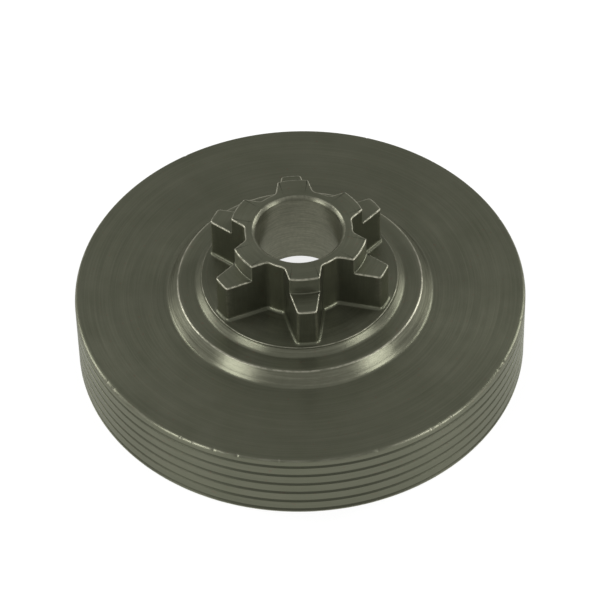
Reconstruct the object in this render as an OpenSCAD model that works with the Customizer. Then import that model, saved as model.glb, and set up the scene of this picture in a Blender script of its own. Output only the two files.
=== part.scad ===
// Clutch drum with a six-tooth spur sprocket, turned as one piece.
// The origin is on the drum's axis, in the plane of the rim it stands on.

/* [Drum] */
// Outside diameter of the rim
drum_d = 68.5; // [66:0.5:90]
// Height of the rim, from its open edge to the outer face of the web
rim_h = 11.75; // [9:0.25:20]
// Inside diameter of the wall that the shoes rub on
shoe_d = 63; // [50:0.5:64.5]
// Thickness of the web between the boss and the rim
web_t = 2.5; // [1.5:0.1:3.5]
// Radius of the fillet where the inner wall meets the web
inner_fillet = 1.2; // [0.3:0.1:2]
// Lead-in chamfer at the open edge of the inner wall
lead_in = 0.6; // [0.1:0.1:1]
// Round on the outer edge of the web
web_edge_r = 0.55; // [0.1:0.05:0.8]
// Chamfer on the outer edge of the open end
foot_edge = 0.2; // [0.05:0.05:0.3]

/* [Rim grooves] */
// Number of turned grooves round the rim
groove_count = 6; // [2:1:8]
// Distance of the highest groove below the outer face of the web
groove_top = 1.38; // [1:0.01:2]
// Height of the lowest groove above the open edge
groove_bottom = 0.72; // [0.65:0.01:1.2]
// Depth of a groove
groove_depth = 0.2; // [0.05:0.05:0.4]
// Width of a groove at the surface
groove_w = 0.6; // [0.2:0.05:0.8]

/* [Boss] */
// Diameter of the shoulder where its bevel meets the web
shoulder_foot_d = 40.2; // [39:0.1:46]
// Diameter of the shoulder's upper edge
shoulder_d = 37.1; // [34:0.1:38.5]
// Height of the shoulder above the web
shoulder_h = 2; // [1:0.1:4]
// Radius of the fillet at the foot of the shoulder
shoulder_fillet = 0.6; // [0.1:0.05:1]
// Diameter of the pad where its bevel meets the shoulder
pad_foot_d = 31.6; // [30.6:0.1:33]
// Diameter of the pad's upper edge, which carries the teeth
pad_d = 29.9; // [29.2:0.1:30.2]
// Height of the pad above the shoulder
pad_h = 1.2; // [0.8:0.1:3]
// Straight height of the pad's edge above its bevel
pad_lip = 0.35; // [0.1:0.05:0.6]
// Radius of the fillet at the foot of the pad
pad_fillet = 0.6; // [0.1:0.05:0.8]

/* [Sprocket] */
// Number of teeth
tooth_count = 6; // [5:1:7]
// Diameter over the tips of the full teeth
tip_d = 28.4; // [25:0.1:29]
// Diameter at the root of the gaps
root_d = 16.2; // [15.4:0.1:18]
// Height of the full teeth above the pad
tooth_h = 6.9; // [4:0.1:12]
// Diameter over the stepped-in upper part of the teeth
step_d = 20.7; // [19:0.1:23]
// Height of the stepped-in part above the full teeth
step_h = 3.05; // [1:0.05:5]
// Width of a tooth where the step cuts it
tooth_w = 4.6; // [3.6:0.1:5]
// Slope of each flank towards the tooth's middle line, in degrees
flank_angle = 11.9; // [4:0.1:14]
// Radius of the fillet at the root of each flank
root_fillet = 1; // [0.3:0.05:1.4]
// Radius on the two upright edges of each tip
tip_r = 0.5; // [0.1:0.05:0.8]
// Direction of the first tooth, in degrees from +X
tooth_phase = 34; // [0:1:60]

/* [Bore] */
// Diameter of the bore for the needle cage
bore_d = 13; // [10:0.05:13.6]
// Chamfer at both ends of the bore
bore_chamfer = 0.45; // [0.1:0.05:0.6]
// Diameter of the pocket behind the boss, at its floor
pocket_d = 33; // [22:0.5:34]
// Depth of the pocket from the inner face of the web
pocket_h = 2.4; // [1:0.1:2.8]
// Slope of the pocket's side, in degrees from the web
pocket_angle = 45; // [35:1:70]

/* [Hidden] */
$fn = 180;
small_fn = 48;
// How far a cut or a joined solid runs past the face it meets
over = 0.5;
// How far a round's circle crosses the edges it joins, so that it meets them at clear points
crossing = 0.002;

web_z = rim_h;
shoulder_z = web_z + shoulder_h;
pad_z = shoulder_z + pad_h;
tooth_z = pad_z + tooth_h;
top_z = tooth_z + step_h;
inner_z = web_z - web_t;
pocket_z = inner_z + pocket_h;
pocket_mouth_d = pocket_d + 2 * pocket_h / tan(pocket_angle);

groove_pitch = (rim_h - groove_top - groove_bottom) / (groove_count - 1);
// A groove is an arc of this radius
groove_r = (pow(groove_w / 2, 2) + pow(groove_depth, 2)) / (2 * groove_depth);

// A flank is the line where this outward normal gives flank_reach
flank_normal = [sin(flank_angle), cos(flank_angle)];
flank_along = [cos(flank_angle), -sin(flank_angle)];
step_corner = [sqrt(pow(step_d / 2, 2) - pow(tooth_w / 2, 2)), tooth_w / 2];
flank_reach = step_corner * flank_normal;

// The point on a line beside the flank, offset by gap, at distance r from the axis
function beside_flank(gap, r) =
    (flank_reach + gap) * flank_normal
    + sqrt(r * r - pow(flank_reach + gap, 2)) * flank_along;

// The area between a round and the two edges it joins, running on past both edges.
// Unit vectors to_a and to_b point from the round's centre to each edge.
module beside_round(centre, to_a, to_b, r) {
    reach = r + over;
    both = to_a + to_b;
    difference() {
        polygon([
            centre,
            centre + to_a * reach,
            centre + 2 * both * reach / (both * both),
            centre + to_b * reach
        ]);
        translate(centre) circle(r, $fn = small_fn);
    }
}

// Fills or rounds the corner between two straight edges that leave it along a and b
module corner(at, a, b, r) {
    ua = a / norm(a);
    ub = b / norm(b);
    half = acos(ua * ub) / 2;
    centre = at + (ua + ub) / norm(ua + ub) * (r - crossing) / sin(half);
    to_a = at + ua * (centre - at) * ua - centre;
    to_b = at + ub * (centre - at) * ub - centre;
    beside_round(centre, to_a / norm(to_a), to_b / norm(to_b), r);
}

// Half section of the turned blank below the teeth, without rounded corners
module blank_outline() {
    rim_r = drum_d / 2;
    shoe_r = shoe_d / 2;
    polygon([
        [0, pocket_z],
        [pocket_d / 2, pocket_z],
        [pocket_mouth_d / 2, inner_z],
        [shoe_r, inner_z],
        [shoe_r, lead_in],
        [shoe_r + lead_in, 0],
        [rim_r - foot_edge, 0],
        [rim_r, foot_edge],
        [rim_r, web_z],
        [shoulder_foot_d / 2, web_z],
        [shoulder_d / 2, shoulder_z],
        [pad_foot_d / 2, shoulder_z],
        [pad_d / 2, pad_z - pad_lip],
        [pad_d / 2, pad_z],
        [0, pad_z]
    ]);
}

// Half section with its fillets, its rounded edge and the rim's grooves
module blank_section() {
    shoulder_slope = [(shoulder_d - shoulder_foot_d) / 2, shoulder_h];
    pad_slope = [(pad_d - pad_foot_d) / 2, pad_h - pad_lip];
    difference() {
        union() {
            blank_outline();
            corner([shoe_d / 2, inner_z], [-1, 0], [0, -1], inner_fillet);
            corner([shoulder_foot_d / 2, web_z], [1, 0], shoulder_slope, shoulder_fillet);
            corner([pad_foot_d / 2, shoulder_z], [1, 0], pad_slope, pad_fillet);
        }
        corner([drum_d / 2, web_z], [-1, 0], [0, -1], web_edge_r);
        for (i = [0 : groove_count - 1])
            translate([drum_d / 2 + groove_r - groove_depth, groove_bottom + i * groove_pitch])
                circle(groove_r, $fn = small_fn);
    }
}

// Outline of one tooth along +X, between its two straight flanks, running on past its tip
module tooth_wedge() {
    end_x = tip_d / 2 + over;
    foot_y = flank_reach / cos(flank_angle);
    end_y = foot_y - end_x * tan(flank_angle);
    polygon([[0, -foot_y], [end_x, -end_y], [end_x, end_y], [0, foot_y]]);
}

// The two corners of a tooth along +X that a round fills at its root
module root_corners() {
    gap = root_fillet - crossing;
    centre = beside_flank(gap, root_d / 2 + gap);
    for (side = [0, 1])
        mirror([0, side, 0])
            beside_round(centre, -flank_normal, -centre / norm(centre), root_fillet);
}

// The two corners of a tooth along +X that a round takes off at its tip
module tip_corners() {
    inset = tip_r - crossing;
    centre = beside_flank(-inset, tip_d / 2 - inset);
    for (side = [0, 1])
        mirror([0, side, 0])
            beside_round(centre, flank_normal, centre / norm(centre), tip_r);
}

// Outline of the whole sprocket
module sprocket_outline() {
    circle(d = root_d);
    for (i = [0 : tooth_count - 1])
        rotate(tooth_phase + i * 360 / tooth_count) {
            difference() {
                intersection() {
                    tooth_wedge();
                    circle(d = tip_d);
                }
                tip_corners();
            }
            root_corners();
        }
}

// Full teeth with the step turned into their upper ends
module sprocket() {
    difference() {
        translate([0, 0, pad_z - over])
            linear_extrude(over + tooth_h + step_h) sprocket_outline();
        translate([0, 0, tooth_z])
            difference() {
                cylinder(h = step_h + over, d = tip_d + 2 * over);
                translate([0, 0, -over]) cylinder(h = step_h + 3 * over, d = step_d);
            }
    }
}

// Through bore with a chamfer at each end
module bore() {
    r = bore_d / 2;
    rotate_extrude()
        polygon([
            [0, pocket_z - over],
            [r + bore_chamfer + over, pocket_z - over],
            [r, pocket_z + bore_chamfer],
            [r, top_z - bore_chamfer],
            [r + bore_chamfer + over, top_z + over],
            [0, top_z + over]
        ]);
}

module clutch_drum() {
    color("dimgray")
        difference() {
            union() {
                rotate_extrude() blank_section();
                sprocket();
            }
            bore();
        }
}

clutch_drum();
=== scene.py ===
import math

import bpy
import numpy as np
from mathutils import Matrix, Vector


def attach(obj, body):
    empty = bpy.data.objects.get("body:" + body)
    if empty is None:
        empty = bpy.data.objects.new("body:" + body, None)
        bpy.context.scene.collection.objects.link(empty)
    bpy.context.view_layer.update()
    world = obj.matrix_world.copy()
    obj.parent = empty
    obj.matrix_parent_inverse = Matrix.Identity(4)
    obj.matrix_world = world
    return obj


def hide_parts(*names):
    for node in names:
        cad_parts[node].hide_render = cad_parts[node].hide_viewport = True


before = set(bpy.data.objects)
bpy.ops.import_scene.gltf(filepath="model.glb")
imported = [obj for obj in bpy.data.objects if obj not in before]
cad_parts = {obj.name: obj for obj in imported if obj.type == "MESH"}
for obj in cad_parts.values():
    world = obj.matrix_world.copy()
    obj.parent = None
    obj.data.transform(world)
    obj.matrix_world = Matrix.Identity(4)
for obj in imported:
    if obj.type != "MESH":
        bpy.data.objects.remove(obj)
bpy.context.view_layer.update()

# Lengths are in millimetres up to the mesh, which is in metres, as the row frame is.
MM = 0.001

# The drum's own sizes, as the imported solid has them
RIM_R, RIM_H = 34.24, 11.75
SHOE_R, INNER_Z, INNER_FILLET, LEAD_IN, FOOT_EDGE = 31.5, 9.25, 1.2, 0.6, 0.2
WEB_EDGE_R = 0.55
GROOVE_COUNT, GROOVE_TOP, GROOVE_BOTTOM, GROOVE_DEPTH, GROOVE_W = 6, 1.38, 0.72, 0.2, 0.6
SHOULDER_FOOT_R, SHOULDER_R, SHOULDER_Z, SHOULDER_FILLET = 20.1, 18.55, 13.75, 0.6
PAD_FOOT_R, PAD_R, PAD_Z, PAD_LIP, PAD_FILLET = 15.8, 14.95, 14.95, 0.35, 0.6
TIP_R, ROOT_R, STEP_R = 14.2, 8.1, 10.35
TOOTH_Z, TOP_Z = 21.85, 24.9
TOOTH_W, FLANK_ANGLE, ROOT_FILLET, TIP_ROUND = 4.6, 11.9, 1.0, 0.5
TOOTH_COUNT, TOOTH_PHASE = 6, 34.0
BORE_R, BORE_CHAMFER = 6.5, 0.45
POCKET_R, POCKET_MOUTH_R, POCKET_Z = 16.5, 18.9, 11.65

# Fine forms that the solid leaves out
FOOT_FILLET, TIP_FOOT_FILLET = 0.6, 0.45
EDGE_BREAK = 0.1
STEP_FILLET = 0.16
PAD_BREAK = 0.07


def unit(v):
    return np.asarray(v, float) / np.linalg.norm(v)


def arc(centre, r, start, end, n):
    """n + 1 points on an arc in the section plane, angles in degrees, 0 outwards and 90 up."""
    a = np.radians(np.linspace(start, end, n + 1))
    return [(centre[0] + r * math.cos(t), centre[1] + r * math.sin(t)) for t in a]


# ---- the sprocket's outline ----

def half_outline():
    """Points and outward normals of one side of a tooth along +X, from its middle line to the gap's."""
    slope = math.radians(FLANK_ANGLE)
    normal = np.array([math.sin(slope), math.cos(slope)])
    along = np.array([math.cos(slope), -math.sin(slope)])
    corner = np.array([math.sqrt(STEP_R ** 2 - (TOOTH_W / 2) ** 2), TOOTH_W / 2])
    reach = corner @ normal

    def beside(gap, r):
        return (reach + gap) * normal + math.sqrt(r * r - (reach + gap) ** 2) * along

    tip_c = beside(-TIP_ROUND, TIP_R - TIP_ROUND)
    root_c = beside(ROOT_FILLET, ROOT_R + ROOT_FILLET)
    tip_a = math.atan2(tip_c[1], tip_c[0])
    root_a = math.atan2(root_c[1], root_c[0])
    flank_a = math.atan2(normal[1], normal[0])
    pts = []

    def add_arc(centre, r, a0, a1, n, sign=1.0, last=False):
        for t in np.linspace(a0, a1, n + 1)[: n + (1 if last else 0)]:
            d = np.array([math.cos(t), math.sin(t)])
            pts.append((centre + r * d, sign * d))

    add_arc(np.zeros(2), TIP_R, 0.0, tip_a, 5)
    add_arc(tip_c, TIP_ROUND, tip_a, flank_a, 6)
    tip_s = (tip_c + TIP_ROUND * normal) @ along
    root_s = (root_c - ROOT_FILLET * normal) @ along
    corner_s = corner @ along
    stops = np.concatenate([
        np.linspace(tip_s, corner_s + 0.25, 6),
        [corner_s, corner_s - 0.1],
        np.linspace(corner_s - 0.1, root_s, 4)[1:-1],
    ])
    for s in stops:
        pts.append((reach * normal + s * along, normal))
    add_arc(root_c, ROOT_FILLET, flank_a - math.pi, root_a - math.pi, 8, sign=-1.0)
    add_arc(np.zeros(2), ROOT_R, root_a, math.pi / TOOTH_COUNT, 6, last=True)
    return pts, corner_s


def whole_outline():
    """Arrays of points and normals all round, in order of angle."""
    half, _ = half_outline()
    upper = half[1:-1]
    lower = [(p * [1, -1], n * [1, -1]) for p, n in reversed(half[1:])]
    tooth = lower + [half[0]] + upper
    points, normals = [], []
    for i in range(TOOTH_COUNT):
        a = math.radians(TOOTH_PHASE + i * 360.0 / TOOTH_COUNT)
        turn = np.array([[math.cos(a), -math.sin(a)], [math.sin(a), math.cos(a)]])
        for p, n in tooth:
            points.append(turn @ p)
            normals.append(turn @ n)
    points, normals = np.array(points), np.array(normals)
    angles = np.degrees(np.arctan2(points[:, 1], points[:, 0])) % 360
    order = np.argsort(angles)
    return points[order], normals[order], angles[order]


def with_extra_angles(points, normals, angles, extra):
    """Adds columns at further angles, on the chords of the outline."""
    have = list(zip(angles, points, normals))
    n = len(angles)
    for a in extra:
        a %= 360
        if np.min(np.abs((angles - a + 180) % 360 - 180)) < 0.05:
            continue
        i = int(np.searchsorted(angles, a)) % n
        p, q = points[i - 1], points[i]
        d = np.array([math.cos(math.radians(a)), math.sin(math.radians(a))])
        cross = lambda u, v: u[0] * v[1] - u[1] * v[0]
        t = cross(p, d) / (cross(p, d) - cross(q, d))
        have.append((a, p + t * (q - p), unit(normals[i - 1] * (1 - t) + normals[i] * t)))
    have.sort(key=lambda h: h[0])
    return (np.array([h[1] for h in have]), np.array([h[2] for h in have]),
            np.array([h[0] for h in have]))


# Nicks along the web's outer edge: azimuth, half width in degrees, depth in millimetres
NICKS = [
    (211.7, 0.35, 0.07), (214.6, 0.55, 0.10), (238.0, 0.50, 0.12), (241.6, 0.30, 0.08),
    (247.3, 0.25, 0.07), (253.4, 0.40, 0.10), (263.8, 0.30, 0.08), (288.5, 0.35, 0.06),
    (303.4, 0.60, 0.11), (306.2, 0.30, 0.07), (309.8, 0.45, 0.10), (329.5, 0.45, 0.10),
    (332.2, 0.25, 0.06), (347.6, 0.30, 0.08), (24.0, 0.45, 0.08), (71.0, 0.30, 0.07),
    (121.0, 0.50, 0.09), (166.0, 0.35, 0.08),
]
extra = [a + k * w for a, w, _ in NICKS for k in (-1.0, -0.35, 0.3, 1.0)]
OUT_P, OUT_N, OUT_A = with_extra_angles(*whole_outline(), extra)
COLUMNS = len(OUT_A)
RADIALS = np.stack([np.cos(np.radians(OUT_A)), np.sin(np.radians(OUT_A))], 1)
RHO = np.linalg.norm(OUT_P, axis=1)


# ---- rings of the drum, from the lower end of the bore round the section and back ----

rings = []


def ring(xy, z, edge=0.0, groove=0.0, clean=0.0, wall=0.0):
    """One loop of vertices, with its masks for the material."""
    full = lambda v: np.broadcast_to(np.asarray(v, float), (COLUMNS,)).copy()
    rings.append({
        "co": np.column_stack([xy, full(z)]),
        "edge": full(edge), "groove": full(groove), "clean": full(clean), "wall": full(wall),
    })


def circle(r, z, **masks):
    ring(RADIALS * r, z, **masks)


def section(points, **masks):
    for r, z in points:
        circle(r, z, **masks)


def broken_corner(before, at, after, size, **masks):
    """A sharp corner of the section with its edge taken off, held by a ring on each side."""
    before, at, after = (np.array(p, float) for p in (before, at, after))
    u, v = unit(before - at), unit(after - at)
    near = at + u * size * 2.2
    circle(*near, **masks)
    masks["edge"] = 1.0
    circle(*(at + u * size), **masks)
    circle(*(at + v * size), **masks)
    masks["edge"] = 0.0
    circle(*(at + v * size * 2.2), **masks)


def rim_rings():
    """The outside of the rim with its turned grooves, from the foot up to the web's edge."""
    pitch = (RIM_H - GROOVE_TOP - GROOVE_BOTTOM) / (GROOVE_COUNT - 1)
    r = ((GROOVE_W / 2) ** 2 + GROOVE_DEPTH ** 2) / (2 * GROOVE_DEPTH)
    for i in range(GROOVE_COUNT):
        z = GROOVE_BOTTOM + i * pitch
        if i:
            circle(RIM_R, z - pitch / 2)
        circle(RIM_R, z - GROOVE_W / 2 - 0.03)
        # groove is painted shade: it darkens the colour toward each groove's floor, and roughens it
        for dz in (-0.5, -0.42, -0.28, -0.1, 0.1, 0.28, 0.42, 0.5):
            dz *= GROOVE_W
            depth = math.sqrt(r * r - dz * dz) - (r - GROOVE_DEPTH)
            circle(RIM_R - depth, z + dz, groove=min(1.0, depth / (0.6 * GROOVE_DEPTH)))
        circle(RIM_R, z + GROOVE_W / 2 + 0.1)


def boss_rings():
    """The web's edge, the web, the shoulder and the pad up to the foot of the teeth."""
    edge_c = (RIM_R - WEB_EDGE_R, RIM_H - WEB_EDGE_R)
    # A thin pale line along the middle of the round: partly wear, partly painted highlight
    for i, (r, z) in enumerate(arc(edge_c, WEB_EDGE_R, 0, 90, 8)):
        circle(r, z, edge=0.35 * math.sin(math.pi * i / 8) ** 6)
    for r in (33.3, 32.4, 31.0, 29.0, 27.0, 25.0, 23.0, 21.4):
        circle(r, RIM_H)

    foot, top = np.array([SHOULDER_FOOT_R, RIM_H]), np.array([SHOULDER_R, SHOULDER_Z])
    slope = unit(top - foot)
    slope_a = math.degrees(math.atan2(slope[1], slope[0]))
    half = math.radians(slope_a) / 2
    c = foot + np.array([SHOULDER_FILLET / math.tan(half), SHOULDER_FILLET])
    for i, p in enumerate(arc(c, SHOULDER_FILLET, 270, 90 + slope_a, 6)):
        circle(*p, clean=0.45 * i / 6)
    start = foot + slope * SHOULDER_FILLET / math.tan(half)
    # The shallow dip at 0.2 takes a little painted shade through groove
    for t, dip in ((0.12, 0), (0.2, 0.025), (0.28, 0), (0.45, 0), (0.65, 0), (0.8, 0)):
        p = start + (top - start) * t - dip * np.array([slope[1], -slope[0]])
        circle(*p, clean=0.45, groove=dip * 10)
    broken_corner(start, top, (PAD_FOOT_R, SHOULDER_Z), 0.09, clean=0.3)

    for r in (17.9, 17.1, 16.4):
        circle(r, SHOULDER_Z)
    foot, top = np.array([PAD_FOOT_R, SHOULDER_Z]), np.array([PAD_R, PAD_Z - PAD_LIP])
    slope = unit(top - foot)
    slope_a = math.degrees(math.atan2(slope[1], slope[0]))
    half = math.radians(slope_a) / 2
    c = foot + np.array([PAD_FILLET / math.tan(half), PAD_FILLET])
    for i, p in enumerate(arc(c, PAD_FILLET, 270, 90 + slope_a, 6)):
        circle(*p, clean=0.3 * i / 6)
    start = foot + slope * PAD_FILLET / math.tan(half)
    for t in (0.35, 0.7):
        circle(*(start + (top - start) * t), clean=0.3)
    circle(*top, clean=0.2)
    circle(PAD_R, PAD_Z - PAD_LIP + 0.05, clean=0.1)
    circle(PAD_R, PAD_Z - 0.16)
    circle(PAD_R, PAD_Z - PAD_BREAK, edge=0.6)
    circle(PAD_R - PAD_BREAK, PAD_Z, edge=0.6)
    circle(PAD_R - 0.16, PAD_Z)


def sprocket_rings():
    """From the pad up the teeth's walls, in over the step and to the top of the bore."""
    on_tip = np.clip((RHO - (TIP_R - 0.5)) / 0.4, 0, 1)
    fillet = FOOT_FILLET + (TIP_FOOT_FILLET - FOOT_FILLET) * on_tip
    for i, t in enumerate(np.radians(np.linspace(0, 90, 7))):
        xy = OUT_P + OUT_N * (fillet * (1 - math.sin(t)))[:, None]
        ring(xy, PAD_Z + fillet * (1 - math.cos(t)), wall=i / 6)
    rounds = np.clip((RHO - (TIP_R - 0.42)) / 0.1, 0, 1) * np.clip((TIP_R - 0.004 - RHO) / 0.01, 0, 1)
    for z in (17.0, 19.5, TOOTH_Z - 0.35):
        ring(OUT_P, z, wall=1.0, edge=0.25 * rounds)

    stub = np.clip((RHO - STEP_R - 0.02) / 0.3, 0, 1)
    full = RHO > STEP_R + 0.01
    ring(OUT_P, TOOTH_Z - EDGE_BREAK, wall=1.0, edge=stub)
    top_xy = OUT_P - OUT_N * (EDGE_BREAK * stub)[:, None]
    ring(top_xy, TOOTH_Z, wall=1 - stub, edge=stub)
    ring(OUT_P - OUT_N * (2.4 * EDGE_BREAK * stub)[:, None], TOOTH_Z, wall=1 - stub)
    inner = np.minimum(RHO, STEP_R + STEP_FILLET + 0.05)
    ring(np.where(full[:, None], RADIALS * inner[:, None], OUT_P), TOOTH_Z, wall=1.0 - full)
    # The edge mask paints a thin pale line in the middle of this inner fillet: a painted highlight
    for t in np.radians((0, 30, 60, 90)):
        r = np.minimum(RHO, STEP_R + STEP_FILLET * (1 - math.sin(t)))
        rise = STEP_FILLET * (1 - math.cos(t))
        ring(np.where(full[:, None], RADIALS * r[:, None], OUT_P), TOOTH_Z + rise,
             wall=1.0 - full, edge=0.15 * full * math.sin(2 * t))

    upper = np.where(full[:, None], RADIALS * STEP_R, OUT_P)
    normal = np.where(full[:, None], RADIALS, OUT_N)
    corner = np.abs(RHO - STEP_R) < 0.01
    mitre = OUT_N + RADIALS
    mitre /= np.linalg.norm(mitre, axis=1)[:, None]
    upper = upper - mitre * (0.05 * corner)[:, None]
    normal = np.where(corner[:, None], mitre, normal)
    for z in (TOOTH_Z + 0.4, TOP_Z - 0.35):
        ring(upper, z, wall=1.0 - full, edge=0.5 * corner)
    ring(upper, TOP_Z - EDGE_BREAK, wall=1.0 - full, edge=1.0)
    ring(upper - normal * EDGE_BREAK, TOP_Z, edge=1.0)
    ring(upper - normal * 2.4 * EDGE_BREAK, TOP_Z)
    circle(BORE_R + BORE_CHAMFER + 0.12, TOP_Z)
    circle(BORE_R + BORE_CHAMFER + 0.02, TOP_Z, edge=0.4)
    circle(BORE_R + BORE_CHAMFER - 0.02, TOP_Z - 0.02, edge=0.3, clean=0.4)
    circle(BORE_R + 0.03, TOP_Z - BORE_CHAMFER + 0.03, clean=0.4)
    circle(BORE_R, TOP_Z - BORE_CHAMFER - 0.03, clean=0.5)
    for z in (24.2, 22.0, 19.0, 16.0, 13.5, 12.25):
        circle(BORE_R, z, clean=0.75)


def cup_rings():
    """The hidden side: the bore's lower chamfer, the pocket, the web and the wall the shoes rub on."""
    circle(BORE_R, POCKET_Z + BORE_CHAMFER, clean=0.5)
    broken_corner((BORE_R, POCKET_Z + BORE_CHAMFER), (BORE_R + BORE_CHAMFER, POCKET_Z), (POCKET_R, POCKET_Z), 0.05,
                  clean=0.6)
    for r in (8.5, 11.0, 13.5):
        circle(r, POCKET_Z)
    c = (POCKET_R - 0.6 * math.tan(math.radians(22.5)), POCKET_Z - 0.6)
    section(arc(c, 0.6, 90, 45, 5))
    section([(17.2, POCKET_Z - 0.7), (18.0, POCKET_Z - 1.5)], clean=0.4)
    broken_corner((POCKET_R, POCKET_Z), (POCKET_MOUTH_R, INNER_Z), (SHOE_R, INNER_Z), 0.12)
    for r in (20.5, 23.0, 26.0, 28.5):
        circle(r, INNER_Z)
    section(arc((SHOE_R - INNER_FILLET, INNER_Z - INNER_FILLET), INNER_FILLET, 90, 0, 8), clean=0.6)
    for z in (7.0, 5.5, 4.0, 2.5, 1.4):
        circle(SHOE_R, z, clean=1.0)
    broken_corner((SHOE_R, INNER_Z), (SHOE_R, LEAD_IN), (SHOE_R + LEAD_IN, 0), 0.06, clean=0.8)
    broken_corner((SHOE_R, LEAD_IN), (SHOE_R + LEAD_IN, 0), (RIM_R, 0), 0.08, clean=0.3)
    circle(33.0, 0)
    circle(RIM_R - FOOT_EDGE - 0.12, 0)
    circle(RIM_R - FOOT_EDGE, 0, edge=0.8)
    circle(RIM_R, FOOT_EDGE, edge=0.8)


cup_rings()
rim_rings()
boss_rings()
sprocket_rings()


def nick_rings():
    """Dents that knocks have left in the web's outer edge."""
    corner = np.array([RIM_R, RIM_H])
    for loop in rings:
        co = loop["co"]
        r = np.linalg.norm(co[:, :2], axis=1)
        near = np.hypot(r - corner[0], co[:, 2] - corner[1])
        if near.min() > 1.0:
            continue
        fade = np.clip(1 - near / 0.6, 0, 1)
        for a, width, depth in NICKS:
            off = np.abs((OUT_A - a + 180) % 360 - 180) / width
            dent = depth * fade * np.clip(1.4 * (1 - off), 0, 1)
            co[:, :2] -= RADIALS * (0.7 * dent)[:, None]
            co[:, 2] -= 0.7 * dent
            # The dents' pale colour is partly bare metal, partly painted glint
            loop["edge"] = np.maximum(loop["edge"], np.clip(dent / depth * 1.3 - 0.3, 0, 1))


nick_rings()


# ---- the mesh ----

def drum_mesh(name):
    """Joins the rings into one closed mesh; columns that meet on a wall share their vertices."""
    co = np.concatenate([r["co"] for r in rings]) * MM
    _, first, index = np.unique(np.round(co * 1e8).astype(np.int64), axis=0,
                                return_index=True, return_inverse=True)
    index = index.reshape(len(rings), COLUMNS)
    faces = []
    for i in range(len(rings)):
        a, b = index[i], index[(i + 1) % len(rings)]
        for j in range(COLUMNS):
            k = (j + 1) % COLUMNS
            corners = []
            for v in (a[j], a[k], b[k], b[j]):
                if v not in corners:
                    corners.append(int(v))
            if len(corners) > 2:
                faces.append(corners[::-1])
    mesh = bpy.data.meshes.new(name)
    mesh.from_pydata(co[first].tolist(), [], faces)
    for key in ("edge", "groove", "clean", "wall"):
        values = np.concatenate([r[key] for r in rings])[first]
        layer = mesh.attributes.new(key, "FLOAT", "POINT")
        layer.data.foreach_set("value", values.astype(np.float32))
    walls = np.concatenate([r["wall"] for r in rings])[first][:, None]
    round_axis = np.column_stack([-co[first][:, 1], co[first][:, 0], np.zeros(len(first))])
    round_axis /= np.linalg.norm(round_axis, axis=1)[:, None]
    grain = np.where(walls > 0.5, [[0.0, 0.0, 1.0]], round_axis)
    layer = mesh.attributes.new("grain", "FLOAT_VECTOR", "POINT")
    layer.data.foreach_set("vector", grain.astype(np.float32).ravel())
    mesh.validate()
    mesh.polygons.foreach_set("use_smooth", [True] * len(mesh.polygons))
    mesh.set_sharp_from_angle(angle=math.radians(55))
    mesh.update()
    return mesh


drum = bpy.data.objects.new("turned_drum", drum_mesh("turned_drum"))
bpy.context.scene.collection.objects.link(drum)
shade = drum.modifiers.new("even_normals", "WEIGHTED_NORMAL")
shade.mode = "FACE_AREA"
shade.weight = 50
shade.keep_sharp = True


# ---- materials ----

class Nodes:
    """Short ways to add and join shader nodes."""

    def __init__(self, material):
        material.use_nodes = True
        self.tree = material.node_tree
        self.tree.nodes.clear()

    def add(self, kind, inputs=None, **props):
        node = self.tree.nodes.new("ShaderNode" + kind)
        for key, value in props.items():
            setattr(node, key, value)
        for key, value in (inputs or {}).items():
            self.put(node.inputs[key], value)
        return node

    def put(self, socket, value):
        if isinstance(value, bpy.types.NodeSocket):
            self.tree.links.new(value, socket)
        else:
            socket.default_value = value

    def math(self, op, a, b=None, c=None, clamp=False):
        inputs = {0: a}
        if b is not None:
            inputs[1] = b
        if c is not None:
            inputs[2] = c
        return self.add("Math", inputs, operation=op, use_clamp=clamp).outputs[0]

    def mask(self, name):
        return self.add("Attribute", attribute_name=name).outputs["Fac"]

    def mix(self, fac, a, b):
        node = self.add("Mix", {0: fac}, data_type="RGBA")
        self.put(node.inputs[6], a)
        self.put(node.inputs[7], b)
        return node.outputs[2]

    def span(self, value, low, high, to_low=0.0, to_high=1.0):
        return self.add("MapRange", {"Value": value, "From Min": low, "From Max": high,
                                     "To Min": to_low, "To Max": to_high}).outputs[0]

    def noise(self, vector, scale, detail=2.0, rough=0.5, w=None):
        node = self.add("TexNoise", {"Scale": scale, "Detail": detail, "Roughness": rough},
                        noise_dimensions="3D" if w is None else "4D")
        self.put(node.inputs["Vector"], vector)
        if w is not None:
            self.put(node.inputs["W"], w)
        return node.outputs["Fac"]


def rgb(r, g, b):
    return (r, g, b, 1.0)


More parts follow.
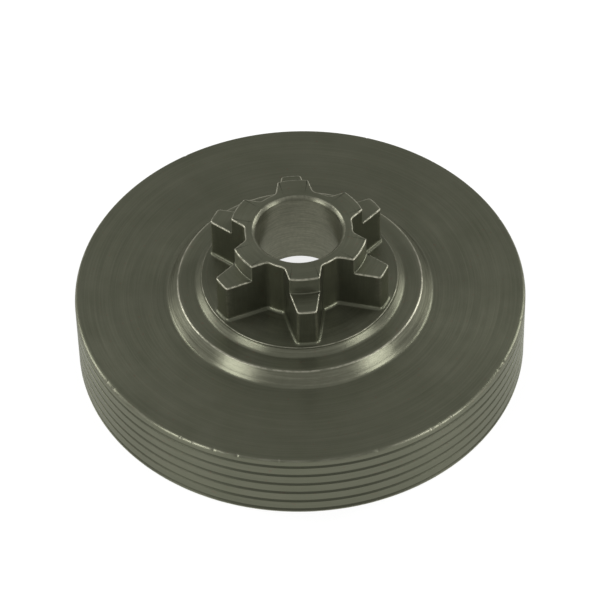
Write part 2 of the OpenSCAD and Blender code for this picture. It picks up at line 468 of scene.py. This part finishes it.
def turned_steel():
    """Dark turned steel: rings of tool marks, a patchy oxide film, bare metal where it has worn, pale edges that
    are partly wear and partly painted highlight, and painted shade in the grooves.
    """
    material = bpy.data.materials.new("turned_steel")
    n = Nodes(material)
    place = n.add("TexCoord").outputs["Object"]
    mm = n.add("VectorMath", {0: place, "Scale": 1 / MM}, operation="SCALE").outputs[0]
    axes = n.add("SeparateXYZ", {0: mm})
    x, y, z = axes.outputs
    r = n.math("SQRT", n.math("ADD", n.math("MULTIPLY", x, x), n.math("MULTIPLY", y, y)))
    cos, sin = n.math("DIVIDE", x, r), n.math("DIVIDE", y, r)
    edge, groove, clean, wall = (n.mask(k) for k in ("edge", "groove", "clean", "wall"))

    def ring_noise(across, round_, detail, rough=0.55):
        """Noise that changes every 1 / across mm over the section and slowly round the axis."""
        vector = n.add("CombineXYZ", {0: n.math("MULTIPLY", r, across), 1: n.math("MULTIPLY", z, across),
                                      2: n.math("MULTIPLY", cos, round_)}).outputs[0]
        return n.noise(vector, 1.0, detail, rough, w=n.math("MULTIPLY", sin, round_))

    fine = ring_noise(4.5, 2.0, 2.0)
    bands = ring_noise(0.9, 0.9, 2.0)
    scuffs = ring_noise(2.2, 16.0, 3.0, 0.6)
    patches = n.noise(mm, 0.16, 3.0, 0.6)
    specks = n.noise(mm, 1.7, 2.0, 0.5)
    strokes = n.noise(n.add("VectorMath", {0: mm, 1: (5.0, 5.0, 0.35)}, operation="MULTIPLY").outputs[0], 1.0, 2.0)
    marks = n.math("MULTIPLY_ADD", wall, n.math("SUBTRACT", strokes, fine), fine)

    film = n.mix(n.span(patches, 0.3, 0.7), rgb(0.120, 0.126, 0.086), rgb(0.142, 0.146, 0.104))
    film = n.mix(n.span(bands, 0.35, 0.65, 0.0, 0.35), film, rgb(0.098, 0.104, 0.073))
    film = n.mix(n.span(marks, 0.4, 0.7, 0.0, 0.3), film, rgb(0.18, 0.182, 0.132))
    film = n.mix(n.span(specks, 0.66, 0.74, 0.0, 0.4), film, rgb(0.16, 0.095, 0.07))
    bare = n.mix(n.span(marks, 0.35, 0.65), rgb(0.20, 0.20, 0.148), rgb(0.32, 0.32, 0.24))
    colour = n.mix(n.math("MULTIPLY", clean, n.span(scuffs, 0.3, 0.6, 0.6, 1.0)), film, bare)
    # Pale colour on the edge mask: partly edge wear, partly a painted highlight along edges, the web's round and
    # the nicks
    edge_wear_and_glint = n.math("MULTIPLY", edge, n.span(scuffs, 0.35, 0.6, 0.2, 1.0))
    colour = n.mix(edge_wear_and_glint, colour, rgb(0.44, 0.43, 0.34))
    # Painted shade: the colour darkens toward the bottoms of the grooves
    colour = n.mix(n.math("MULTIPLY", groove, 0.6), colour, rgb(0.055, 0.058, 0.04))

    rough = n.span(marks, 0.3, 0.7, 0.30, 0.40)
    rough = n.math("ADD", rough, n.span(patches, 0.3, 0.7, -0.03, 0.04))
    rough = n.math("MULTIPLY_ADD", groove, 0.25, rough)

    heights = n.math("ADD", n.math("MULTIPLY", marks, 0.7), n.math("MULTIPLY", scuffs, 0.3))
    bump = n.add("Bump", {"Strength": 0.5, "Distance": 0.02 * MM, "Height": heights})
    tangent = n.add("Attribute", attribute_name="grain").outputs["Vector"]
    shader = n.add("BsdfPrincipled", {
        "Base Color": colour, "Metallic": 0.8, "Roughness": rough, "Anisotropic": 0.7,
        "Anisotropic Rotation": 0.25, "Specular Tint": rgb(0.75, 0.75, 0.7),
        "Tangent": tangent, "Normal": bump.outputs[0],
    })
    out = n.add("OutputMaterial")
    n.put(out.inputs[0], shader.outputs[0])
    return material


steel = turned_steel()
drum.data.materials.append(steel)
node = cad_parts["clutch_drum"]
node.data.materials.clear()
node.data.materials.append(steel)
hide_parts("clutch_drum")
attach(drum, "root")


# ---- floor ----

def pale_floor():
    """A pale floor that shows white to the camera and in the metal, and keeps the soft shadow."""
    material = bpy.data.materials.new("pale_floor")
    n = Nodes(material)
    path = n.add("LightPath").outputs
    seen = n.math("ADD", n.math("ADD", path["Is Camera Ray"], path["Is Glossy Ray"]),
                  path["Is Transmission Ray"], clamp=True)
    plain = n.add("BsdfDiffuse", {"Color": rgb(0.8, 0.8, 0.8)}).outputs[0]
    soft = n.add("BsdfDiffuse", {"Color": rgb(0.3, 0.3, 0.3)}).outputs[0]
    glow = n.add("Emission", {"Color": rgb(1, 1, 1), "Strength": 0.82}).outputs[0]
    bright = n.add("AddShader", {0: soft, 1: glow}).outputs[0]
    top = n.add("MixShader", {0: seen, 1: plain, 2: bright}).outputs[0]
    clear = n.add("BsdfTransparent").outputs[0]
    under = n.add("NewGeometry").outputs["Backfacing"]
    out = n.add("OutputMaterial")
    n.put(out.inputs[0], n.add("MixShader", {0: under, 1: top, 2: clear}).outputs[0])
    return material


def floor():
    """One flat sheet under the drum, out to beyond every view."""
    side, z = 4.0, -0.02 * MM
    mesh = bpy.data.meshes.new("floor")
    mesh.from_pydata([(-side, -side, z), (side, -side, z), (side, side, z), (-side, side, z)], [], [(0, 1, 2, 3)])
    sheet = bpy.data.objects.new("floor", mesh)
    bpy.context.scene.collection.objects.link(sheet)
    mesh.materials.append(pale_floor())


floor()


# ---- light ----

def softbox(name, azimuth, elevation, radiance, width, height, distance=0.7):
    """A rectangular lamp aimed at the drum, with its brightness given as seen from the drum."""
    a, e = math.radians(azimuth), math.radians(elevation)
    out = Vector((math.cos(a) * math.cos(e), math.sin(a) * math.cos(e), math.sin(e)))
    lamp = bpy.data.lights.new(name, "AREA")
    lamp.shape = "RECTANGLE"
    lamp.size, lamp.size_y = width, height
    lamp.energy = radiance * math.pi * width * height
    holder = bpy.data.objects.new(name, lamp)
    holder.location = out * distance
    holder.rotation_euler = out.to_track_quat("Z", "Y").to_euler()
    bpy.context.scene.collection.objects.link(holder)


softbox("lamp_front_left", 218, 22, 6.0, 0.28, 0.30)
softbox("lamp_front_right", 331, 22, 6.0, 0.28, 0.30)
softbox("lamp_back_left", 158, 32, 4.0, 0.26, 0.44)
softbox("lamp_back_right", 31, 32, 4.0, 0.26, 0.44)

world = bpy.data.worlds.new("plain_light")
bpy.context.scene.world = world
world.use_nodes = True
world.node_tree.nodes["Background"].inputs["Color"].default_value = rgb(1.0, 1.0, 1.0)
world.node_tree.nodes["Background"].inputs["Strength"].default_value = 0.46


# ---- camera ----

def camera():
    """The photograph's view: from the front, 47 degrees up, from 16 rim radii away."""
    elevation, roll, distance = math.radians(47.341), math.radians(-1.343), 16.0 * RIM_R * MM
    focus = Vector((0.0, 0.0, RIM_H * MM))
    back = Vector((0.0, -math.cos(elevation), math.sin(elevation)))
    data = bpy.data.cameras.new("camera")
    data.sensor_width = 36.0
    data.lens = 216.263
    data.shift_x = 0.0
    data.shift_y = -0.01896
    data.clip_start, data.clip_end = 0.05, 20.0
    holder = bpy.data.objects.new("camera", data)
    turn = (-back).to_track_quat("-Z", "Y").to_matrix() @ Matrix.Rotation(roll, 3, "Z")
    holder.rotation_euler = turn.to_euler()
    holder.location = focus + back * distance
    bpy.context.scene.collection.objects.link(holder)
    bpy.context.scene.camera = holder


camera()
bpy.context.scene.view_settings.view_transform = "Standard"


# ---- sizes ----

def plain(box):
    return [[round(float(v), 6) for v in corner] for corner in box]
